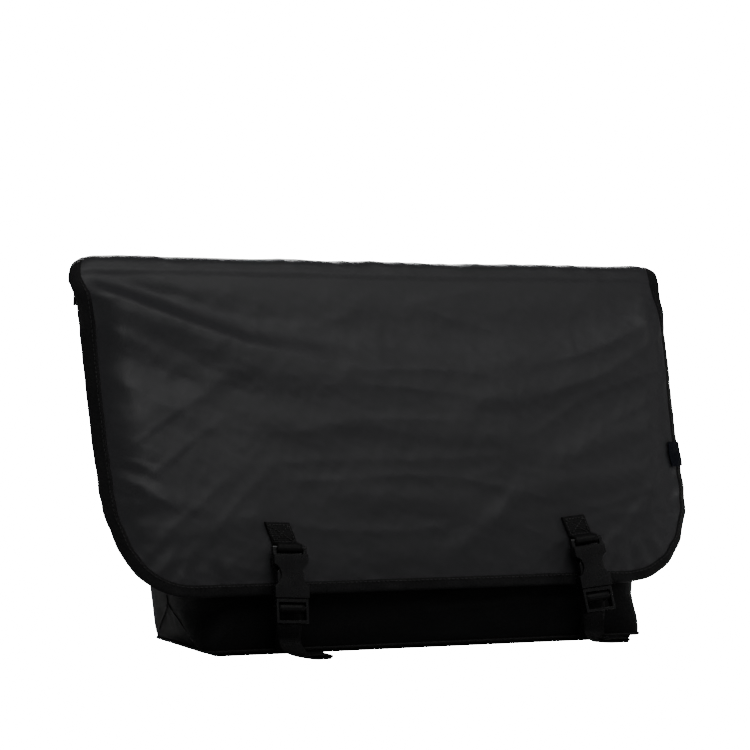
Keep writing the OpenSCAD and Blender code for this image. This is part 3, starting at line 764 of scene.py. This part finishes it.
def roll_seam_line():
    """The line of stitching along the top of the roll, beside the zone where the two flap pieces meet."""
    at = ("roll", 78)
    return [(flap_point(at, x, -0.12), flap_point(at, x, -1) - flap_point(at, x, 0))
            for x in np.linspace(-FLAP_HALF + 14, FLAP_HALF - 14, 150)]


roll_thread = stitches("flap_roll_stitching", [roll_seam_line()], "dark_thread", radius=0.35)
place(roll_thread, "flap_crown")


# ---- body: one lofted shell that sags
N_FRONT, N_TURN, N_SIDE = 110, 14, 10


def flare(z):
    """Half width at the middle of the sides: the cloth bellies out above the base."""
    if z < CORNER_Z:
        return BASE[0] + (CORNER_HALF - BASE[0]) * clamp(z / CORNER_Z) ** 0.38
    return half_w(z)


def turn_points(width, y0, a, b, power):
    """The rounded corner from the side's seam, at y0, to the front or the back."""
    out = []
    for k in range(N_TURN + 1):
        w = math.pi / 2 * k / N_TURN
        out.append((width - a + a * max(math.cos(w), 0) ** (2 / power), y0 + b * math.sin(w) ** (2 / power)))
    return out


@lru_cache(maxsize=None)
def body_ring(z, inset):
    """Points round the body at a height, from the front's left end to the right and on round the back."""
    half, yf, yb = flare(z) - inset, front_y(z) + inset, back_y(z) - inset
    ym, hd = (yf + yb) / 2, (yb - yf) / 2
    flat = max(0.05, 1 - z / CORNER_Z)
    reach = max(hd * (1 - flat), 7.0)
    upper = smooth(130, BODY_H, z)
    a_front = mix(mix(7, 55, smooth(0, 46, z)), 13, upper)
    a_back = mix(mix(7, 15, smooth(0, 46, z)), 11, upper)
    edge = hd - reach
    front_turn = turn_points(half, 0, a_front, reach, mix(2.0, 2.5, smooth(0, 46, z)))
    back_turn = turn_points(half, 0, a_back, reach, mix(2.0, 3.0, smooth(0, 46, z)))
    xf, xb = half - a_front, half - a_back
    cover = smooth(BODY_H, BODY_H - 60, z) * smooth(0, 16, z)

    def puff(x, y, seed):
        return (1.6 * wave(x + y, z, 52, seed) + 0.8 * crease(x + y, z, 70, 60, 22, seed)) * cover

    pts = []
    for s in np.linspace(-1, 1, N_FRONT):
        x = s * xf
        fold = 1.8 * wave(x, z, 70, 11) + 0.9 * wave(x, z, 26, 12) + 1.2 * crease(x, z, 8, 120, 30, 4)
        low = z < HEM_Z + 30
        pts.append((x, yf - (max(fold, -1.0) if low else min(fold, 0.4)) * cover * (1 - abs(s) ** 8)))
    for side in (1, -1):
        front = [(side * x, ym - edge - y) for x, y in front_turn]
        back = [(side * x, ym + edge + y) for x, y in back_turn]
        middle = [(side * half, ym + t * edge) for t in np.linspace(-1, 1, N_SIDE)[1:-1]]
        run = front[:0:-1] + [front[0]] + middle + back
        run = [(x + side * min(puff(0, y, 13 + side), 1.2) * (1 - abs((y - ym) / hd) ** 6), y)
               for x, y in run]
        if side < 0:
            run = run[::-1]
            pts += run[1:-1]
        else:
            pts += run[1:-1]
            for s in np.linspace(1, -1, N_FRONT):
                x = s * xb
                low = smooth(ROOT_Z - 20, ROOT_Z - 70, z)
                fold = (2.2 * wave(x, z, 110, 14) + 0.9 * wave(x, z, 40, 15)) * low
                pts.append((x, yb + min(fold, 1.0) * cover * (1 - abs(s) ** 8)))
    return np.array([(x, y, z) for x, y in pts])


def body_section(z, inset):
    return body_ring(float(z), float(inset)).copy()


def rounds(levels, inset):
    return [body_section(z, inset) for z in levels]


def closed_loft(name, rings, material, floor=True):
    """A surface through closed rings: up the outside, then down the inside."""
    m = len(rings[0])
    verts = np.concatenate(rings)
    first = rings[0]
    around = run_length(np.vstack([first, first[:1]]))
    up = run_length([ring[m // 4] for ring in rings])
    uv = [(u, v) for v in up for u in around[:-1]]
    faces = ring_faces(len(rings), m, wrap=not floor)
    if floor:
        faces += end_faces(len(rings), m)
    return finish_mesh(name, verts, faces, material, uv, smooth_angle=46)


levels = np.concatenate([np.linspace(3.4, 50, 22), np.linspace(58, BODY_H, 44)])
CLOTH_T = 2.2
shell = closed_loft("body_shell", rounds(levels, 0) + rounds(levels[::-1], CLOTH_T), "body_nylon",
                    floor=False)
place(shell, "bag", "front_panel", "back_panel", "left_gusset", "right_gusset")

LINER_BACK = 6.0  # the foam and the back panel lie behind the liner


def liner_section(z, inset):
    ring = body_section(z, 3.0 + inset)
    ring[:, 1] = np.minimum(ring[:, 1], back_y(z) - LINER_BACK - inset)
    loose = 1.2 * smooth(0, 60, z) * smooth(BODY_H, BODY_H - 60, z)
    ring[:, 0] += loose * np.array([wave(x, z, 60, 21) for x in ring[:, 0]])
    return ring


liner_levels = np.linspace(4.0, BODY_H - 0.6, 40)
liner_rings = [liner_section(z, 0) for z in liner_levels]
liner_rings += [liner_section(z, 0.8) for z in np.append(liner_levels[:0:-1], 5.0)]
liner = closed_loft("liner_bucket", liner_rings, "liner_cloth")
place(liner, "bag", "liner")


def base_ring(z, grow):
    pts = []
    r = 7.0
    for sx, sy, a0 in ((1, -1, -90), (1, 1, 0), (-1, 1, 90), (-1, -1, 180)):
        for k in range(9):
            a = math.radians(a0 + 90 * k / 8)
            pts.append((sx * (BASE[0] - r) + (r + grow) * math.cos(a),
                        sy * (BASE[1] - r) + (r + grow) * math.sin(a), z))
    return np.array(pts)


base = closed_loft("base_panel", [base_ring(z, g) for z, g in
                                  ((0.0, -3), (0.05, -0.6), (0.8, 0.6), (2.4, 1.2), (3.4, 0.5), (3.8, -2.2))],
                   "body_nylon")
place(base, "bag", "bottom_panel")


def tube(name, path, radius, material, closed=False, sides=8):
    """Round piping along a path."""
    p = np.asarray(path, float)
    t = unit(np.gradient(p, axis=0) if not closed else np.roll(p, -1, 0) - np.roll(p, 1, 0))
    up = np.array((0.0, 0.0, 1.0))
    verts = []
    for c, d in zip(p, t):
        a = np.cross(d, up if abs(d[2]) < 0.9 else (1.0, 0.0, 0.0))
        a /= np.linalg.norm(a)
        b = np.cross(a, d)
        verts += [c + radius * (math.cos(2 * math.pi * k / sides) * a + math.sin(2 * math.pi * k / sides) * b)
                  for k in range(sides)]
    n = len(p)
    uv = [(2 * math.pi * radius * k / sides, v) for v in run_length(p) for k in range(sides)]
    faces = ring_faces(n, sides, wrap=closed)
    if not closed:
        faces += end_faces(n, sides)
    return finish_mesh(name, verts, faces, material, uv)


# seams: down the middle of each side, then round the boxed base corner, and round the base
def seam_path(side, end, levels):
    """Points of a side's seam: end is -1 for the boxed corner's front edge and 1 for its back edge."""
    path = []
    for z in levels:
        yf, yb = front_y(z), back_y(z)
        ym, hd = (yf + yb) / 2, (yb - yf) / 2
        edge = hd - max(hd * (1 - max(0.05, 1 - z / CORNER_Z)), 7.0)
        path.append((side * (flare(z) + 0.3), ym + end * edge, z))
    return path


for name, s in SIDES.items():
    low, high = np.linspace(5, CORNER_Z, 30), np.linspace(CORNER_Z - 1, BODY_H - 2, 80)
    for where, end, heights, radius in (("front_corner", -1, low, 1.1), ("back_corner", 1, low, 1.1),
                                        ("side", 0, high, 1.4)):
        piping = tube(f"{name}_{where}_seam", seam_path(s, end, heights), radius, "binding_tape")
        place(piping, "bag")
rim = body_section(4.6, 0)
middle = rim.mean(axis=0)
rim[:, :2] += 0.5 * np.sign(rim[:, :2] - middle[:2])
place(tube("base_welt", rim, 1.4, "binding_tape", closed=True), "bag")


# mouth tape, folded over the top edge
def mouth_rings():
    rings = []
    for rise, inset in ((-9, -0.3), (-8.6, -0.9), (0, -1.0), (2.2, -0.7), (3.1, 0.3),
                        (3.1, 2.6), (2.2, 3.6), (0, 3.9), (-8.6, 3.9), (-9, 3.1)):
        ring = body_section(BODY_H + min(rise, 0), max(inset, 0.0))
        ring[:, 2] = BODY_H + rise
        if inset < 0:
            ring[:, 1] += np.where(ring[:, 1] < ring[:, 1].mean(), inset, -inset) * 0.35
        rings.append(ring)
    return rings


mouth = closed_loft("mouth_binding", mouth_rings(), "binding_tape", floor=False)
place(mouth, "bag", "mouth_tape")


# ---- buckles and their webbing
def buckle_frame(name):
    """Origin, and the directions across, back and up, of a buckle."""
    at, bar = joint(f"{name}_socket_swing")
    down = joint(f"{name}_plug_release")[1]
    across = -bar
    up = -down
    return at, across, np.cross(up, across), up


def in_buckle(name, x, y, z):
    at, a, b, u = buckle_frame(name)
    return at + x * a + y * b + z * u


BAR_R = 2.2
LOOP_R = BAR_R + 0.3
PLUG_BAR_Z = 56.3
BOX_CROSS = ((0, 1), (1, 2), (2, 3), (3, 0), (0, 2), (1, 3))  # a sewn box and its cross, between its corners
BUCKLE_Z = joint("left_socket_swing")[0][2]
PATCH = (BUCKLE_Z + LOOP_R + 2, BUCKLE_Z + LOOP_R + 20)  # heights of the sewn webbing on the flap


def arc(cy, cz, r, a0, a1, n=14):
    return [(cy + r * math.cos(a), cz + r * math.sin(a)) for a in np.radians(np.linspace(a0, a1, n))]


PATCH_LEAN = {"left": -0.36, "right": -0.2}  # how far the sewn webbing leans for each millimetre up


def patch_shift(name, z):
    return PATCH_LEAN[name] * max(z - LOOP_R - 1, 0)


def buckle_tape(name, piece, line, width=WEB_W - 0.4, thick=WEB_T, step=2.0):
    path = resample([(y, 0, z) for y, z in line], step)
    pts = np.array([in_buckle(name, 0, p[0], p[2]) for p in path])
    across = buckle_frame(name)[1]
    a, n = planar_frames(pts, across)
    pts += np.outer([patch_shift(name, p[2]) for p in path], across)
    return tape(piece, pts, a, n, width, thick, "webbing")


for name, s in SIDES.items():
    at, across, back, up = buckle_frame(name)

    def local(point):
        d = np.asarray(point) - at
        return float(d @ back), float(d @ up)

    def on_flap(z, off):
        return local((at[0], flap_y(at[0], z) - off, z))

    outer = [on_flap(z, 2.6) for z in np.linspace(PATCH[1], PATCH[0], 6)]
    inner = [on_flap(z, 0.95) for z in np.linspace(PATCH[0], PATCH[1], 6)]
    loop = arc(0, 0, LOOP_R + WEB_T / 2, 110, 285)
    web = buckle_tape(name, f"{name}_anchor_web", outer + loop + inner)
    place(web, "flap_front", f"{name}_buckle_web")

    # box and cross stitching through the patch
    top, low = on_flap(PATCH[1] - 2.2, 3.55), on_flap(PATCH[0] + 0.5, 3.55)
    corners = [(-10, *top), (10, *top), (10, *low), (-10, *low)]
    lines = []
    for a, b in BOX_CROSS:
        pa, pb = (in_buckle(name, q[0] + patch_shift(name, q[2]), *q[1:]) for q in (corners[a], corners[b]))
        lines.append([(mix(pa, pb, f), -back) for f in np.linspace(0, 1, 12)])
    cross = stitches(f"{name}_anchor_stitching", lines, "thread", 2.6, 0.7, 0.5)
    place(cross, "flap_front")

    # the plug's webbing: over the front of its bar
    r = LOOP_R + WEB_T / 2
    z = -PLUG_BAR_Z
    run = [(5.0, z + r + 0.6), (3.0, z + r + 0.1)] + arc(0, z, r, 90, 270)
    run += [(3.0, z - r - 0.1), (5.0, z - r - 0.6)]
    place(buckle_tape(name, f"{name}_plug_webbing", run), f"{name}_plug", f"{name}_plug_web")

    # plastic pieces, with their edges rounded
    for part, width in (("socket", 1.6), ("plug", 1.0), ("arm_outer", 0.6), ("arm_inner", 0.6)):
        node = f"{name}_{part}"
        place(softened(node, f"{node}_moulding", width, "buckle_plastic"), node, node)

# lower straps: webbing from the base seam, up to the back of the plug, folded, and down again as the tail
for name, s in SIDES.items():
    lo, hi = box(f"{name}_lower_strap")
    x = (lo[0] + hi[0]) / 2
    seam_y = -BASE[1] - WEB_T / 2 - 1.5
    top_y = lo[1] + WEB_T / 2
    foot = x + 5  # the strap leans a little between its seam and the plug
    up_path = [(foot, seam_y + 1.5, 0.9), (foot, seam_y - 0.6, 2.4), (foot - 0.5, seam_y - 2.5, 12),
               (mix(foot, x, 0.5), mix(seam_y, top_y, 0.6) - 1.5, 26), (x, top_y + 1.2, 40),
               (x, top_y + 0.6, hi[2] - 2.0)]
    p = resample(up_path, 2.0)
    a, n = planar_frames(p)
    rising = tape(f"{name}_rising_web", p, a, n, WEB_W - 0.4, WEB_T, "webbing")
    place(rising, "bag", f"{name}_lower_strap")

    lo, hi = box(f"{name}_strap_tail")
    end_x = hi[0] - 19
    end_y = lo[1] + 11
    drop_y = box("right_strap_tail")[1][1] - 1.4
    tip = end_x + 14
    path = [(x, drop_y - 0.6, hi[2] + 1.0), (x, drop_y - 1.0, hi[2] - 8), (x + 0.5, drop_y - 2.0, 20),
            (x + 1, mix(drop_y, end_y, 0.2), 10), (x + 3, mix(drop_y, end_y, 0.65), 3.6),
            (x + 9, end_y - 0.5, 1.6), (mix(x + 9, tip, 0.55), end_y, 1.2), (tip, end_y, 1.3)]
    p = resample(path, 1.5)
    frac = run_length(p)
    frac /= frac[-1]
    t = unit(np.gradient(p, axis=0))
    turn = np.array([math.pi / 2 * smooth(0.46, 0.8, f) for f in frac])
    wide = np.stack([np.cos(turn), np.sin(turn), np.zeros_like(turn)], axis=1)
    wide = unit(wide - (wide * t).sum(1)[:, None] * t)
    tail = tape(f"{name}_tail_web", p, wide, np.cross(wide, t), WEB_W - 3.4, WEB_T, "webbing")
    place(tail, "bag", f"{name}_strap_tail")
    # the end is folded over twice and sewn
    fold = resample([(tip, end_y, 2.2), (tip + 1.4, end_y, 3.2), (tip - 1, end_y, 4.2),
                     (tip - 14, end_y, 4.5), (tip - 26, end_y, 3.9)], 1.5)
    a, n = planar_frames(fold, (0, 1, 0))
    place(tape(f"{name}_tail_fold", fold, a, n, WEB_W - 3.4, WEB_T, "webbing"), "bag")
    bars = [[((end_x + dx, end_y + v, 5.5), (0, 0, 1)) for v in np.linspace(-9, 9, 10)] for dx in (-9, -6.5)]
    place(stitches(f"{name}_tail_stitching", bars, "thread", 2.4, 0.9, 0.36), "bag")


# ---- label tab
tab_lo, tab_hi = box("label_tab")
TAB_STAND = 1.2
rows = [[flap_point(("front", z), x, -TAB_STAND - 1.1) for x in np.linspace(tab_lo[0] - 1, tab_hi[0] + 1, 12)]
        for z in np.linspace(tab_hi[2], tab_lo[2], 14)]
TAB_T = np.array((0, 1.1, 0))
tab = slab("plain_label", rows, [[q + TAB_T for q in row] for row in rows], "label")
place(tab, "flap_front", "label_tab")


# ---- shoulder strap
RING_LO, RING_HI = box("left_ring")
RING_X = (RING_LO[0] + RING_HI[0]) / 2
RING_R = 2.0
RING_Y = (RING_LO[1] + RING_HI[1]) / 2
RING_TOP, RING_LOW = RING_HI[2] - RING_R, RING_LO[2] + RING_R
STRAP_LO, STRAP_HI = box("shoulder_strap")
TURN_R = 75.0
LOW_Z = STRAP_LO[2] + STRAP_T / 2
LOOP = RING_R + 0.3 + STRAP_T / 2


def round_bar(x, z, start, end, count):
    """Points of webbing round a ring's bar, from one angle to the other."""
    return [(x, RING_Y + LOOP * math.cos(v), z + LOOP * math.sin(v))
            for v in np.radians(np.linspace(start, end, count))]


for name, s in SIDES.items():
    x = s * abs(RING_X)
    patch = [(x, back_y(z) + 0.2 + STRAP_T * 1.5, z) for z in np.linspace(RING_TOP - 30, RING_TOP - 8, 5)]
    under = [(x, back_y(z) + 0.2 + STRAP_T * 0.5, z) for z in np.linspace(RING_TOP - 6, RING_TOP - 30, 5)]
    p = resample(patch + round_bar(x, RING_TOP, -70, 150, 14) + under, 2.0)
    a, n = planar_frames(p)
    holder = tape(f"{name}_ring_webbing", p, a, n, STRAP_W - 1, STRAP_T, "wide_webbing")
    place(holder, "bag", f"{name}_ring_tab")
    y = back_y(RING_TOP - 20) + 0.2 + 2 * STRAP_T + 0.1
    box_line = [(x - 20, RING_TOP - 27), (x + 20, RING_TOP - 27), (x + 20, RING_TOP - 11),
                (x - 20, RING_TOP - 11)]
    lines = [[((mix(box_line[a][0], box_line[b][0], f), y, mix(box_line[a][1], box_line[b][1], f)), (0, 1, 0))
              for f in np.linspace(0, 1, 14)] for a, b in BOX_CROSS]
    place(stitches(f"{name}_ring_stitching", lines, "thread"), "bag")
    ring = softened(f"{name}_ring", f"{name}_strap_ring", 0.1, "ring_plastic", 1)
    place(ring, "strap", f"{name}_ring")
place(softened("strap_slider", "strap_slider_moulding", 0.7, "ring_plastic"), "slider", "strap_slider")

TWIST_0, TWIST_1 = RING_LOW - 68.0, LOW_Z + TURN_R
DEEP_Y = STRAP_HI[1] - STRAP_W / 2


def strap_half():
    """Points of the strap from the left ring to the middle, each with its width's turn in degrees."""
    out = [((RING_X, RING_Y, z), 0.0) for z in np.linspace(RING_LOW - LOOP - 1, TWIST_0, 20)]
    out += [((RING_X, mix(RING_Y, DEEP_Y, f ** 0.7), mix(TWIST_0, TWIST_1, f)), 90 * smooth(0, 1, f))
            for f in np.linspace(0, 1, 28)[1:]]
    out += [((RING_X + TURN_R + TURN_R * math.cos(w), DEEP_Y, TWIST_1 + TURN_R * math.sin(w)), 90.0)
            for w in np.radians(np.linspace(180, 270, 22)[1:])]
    return out + [((x, DEEP_Y, LOW_Z), 90.0) for x in np.linspace(RING_X + TURN_R, 0, 20)[1:]]


half = strap_half()
full = half + [((-p[0], p[1], p[2]), 180 - v if v < 90 else 90.0) for p, v in reversed(half[:-1])]
p = np.array([q for q, _ in full])
turn = np.radians([v for _, v in full])
t = unit(np.gradient(p, axis=0))
wide = np.stack([np.cos(turn), -np.sin(turn), np.zeros_like(turn)], axis=1)
wide = unit(wide - (wide * t).sum(1)[:, None] * t)
strap = tape("shoulder_strap_web", p, wide, np.cross(wide, t), STRAP_W - 1, STRAP_T, "wide_webbing", cols=10)
place(strap, "strap", "shoulder_strap")
for name, s in SIDES.items():
    x = s * abs(RING_X)
    q = resample([(x, RING_Y + 0.6, RING_LOW - 4.4), (x, RING_Y + 1.6, RING_LOW - 3.4)]
                 + round_bar(x, RING_LOW, -60, 230, 16)[:-1] + [(x, RING_Y - 0.6, RING_LOW - 4.4)], 2.0)
    a, n = planar_frames(q)
    sewn = tape(f"{name}_strap_loop", q, a, n, STRAP_W - 1, STRAP_T * 0.8, "wide_webbing")
    place(sewn, "strap")

# CAD pieces that stay as they are, inside the body
for node, kind in (("base_board", "board"), ("back_foam", "foam")):
    kept = frame["nodes"][node].data.materials
    kept.clear()
    kept.append(MATERIALS[kind])


# ---- floor, light and camera
STUDIO_WHITE = 30.0  # how bright the backdrop and the floor are where the camera sees them
ROOM_LIGHT = 0.12  # how bright the room is on the bag
FLOOR = 9.0  # metres from its middle to its edge
FLOOR_Z = -0.0006  # just under the bag


def for_camera(tree, unseen, bright):
    """One shader for the camera, and another for the light that falls on the bag."""
    seen = add(tree, "ShaderNodeLightPath")
    pick = add(tree, "ShaderNodeMixShader")
    tree.links.new(seen.outputs["Is Camera Ray"], pick.inputs[0])
    tree.links.new(unseen.outputs[0], pick.inputs[1])
    tree.links.new(bright.outputs[0], pick.inputs[2])
    return pick.outputs[0]


floor_mesh = bpy.data.meshes.new("floor")
floor_mesh.from_pydata([(x * FLOOR, y * FLOOR, FLOOR_Z) for x, y in ((-1, -1), (1, -1), (1, 1), (-1, 1))], [],
                       [(0, 1, 2, 3)])
floor_material, tree, paper = node_material("floor_paper", (0.5, 0.5, 0.5), 0.9, 0, 0.1)
both = add(tree, "ShaderNodeAddShader")
tree.links.new(paper.outputs[0], both.inputs[0])
tree.links.new(for_camera(tree, add(tree, "ShaderNodeEmission", Strength=0.0),
                          add(tree, "ShaderNodeEmission", Strength=STUDIO_WHITE)), both.inputs[1])
tree.links.new(both.outputs[0], tree.nodes["Material Output"].inputs["Surface"])
floor_mesh.materials.append(floor_material)
shown("floor", floor_mesh)

# a white studio: the backdrop is bright where it is seen, and the bag is lit softly
world = bpy.data.worlds.new("studio")
bpy.context.scene.world = world
world.use_nodes = True
tree = world.node_tree
room = tree.nodes["Background"]
room.inputs["Color"].default_value = (1, 1, 1, 1)
room.inputs["Strength"].default_value = ROOM_LIGHT
backdrop = add(tree, "ShaderNodeBackground", Color=(1, 1, 1, 1), Strength=STUDIO_WHITE)
tree.links.new(for_camera(tree, room, backdrop), tree.nodes["World Output"].inputs["Surface"])

for name, at, target, size, power in (
        ("key_from_above", (0.0, -1.5, 2.5), (0, 0, 0.15), (2.2, 1.6), 30),
        ("fill_right", (2.4, -1.2, 1.3), (0, 0, 0.2), (1.2, 1.4), 5),
        ("behind", (0.9, 2.7, 1.6), (0, 0.1, 0.2), (1.8, 1.2), 190),
        ("edge_strip_left", (-2.6, -0.6, 0.7), (0, -0.1, 0.12), (0.3, 1.2), 0.35)):
    softbox = bpy.data.lights.new(name, "AREA")
    softbox.shape = "RECTANGLE"
    softbox.size, softbox.size_y = size
    softbox.energy = power
    obj = shown(name, softbox)
    obj.location = at
    obj.rotation_euler = (Vector(target) - Vector(at)).to_track_quat("-Z", "Y").to_euler()

camera_data = bpy.data.cameras.new("camera")
camera = shown("camera", camera_data)
camera.location = (-1.0292, -2.4106, 0.276)
CAMERA_TURN = math.radians(22.6)  # the photo was taken from the bag's left front, level
look = Vector((math.sin(CAMERA_TURN), math.cos(CAMERA_TURN), 0))
camera.rotation_euler = look.to_track_quat("-Z", "Y").to_euler()
camera_data.sensor_width = 36
camera_data.lens = 129.3
camera_data.shift_y = -0.0253
camera_data.clip_end = 60
bpy.context.scene.camera = camera
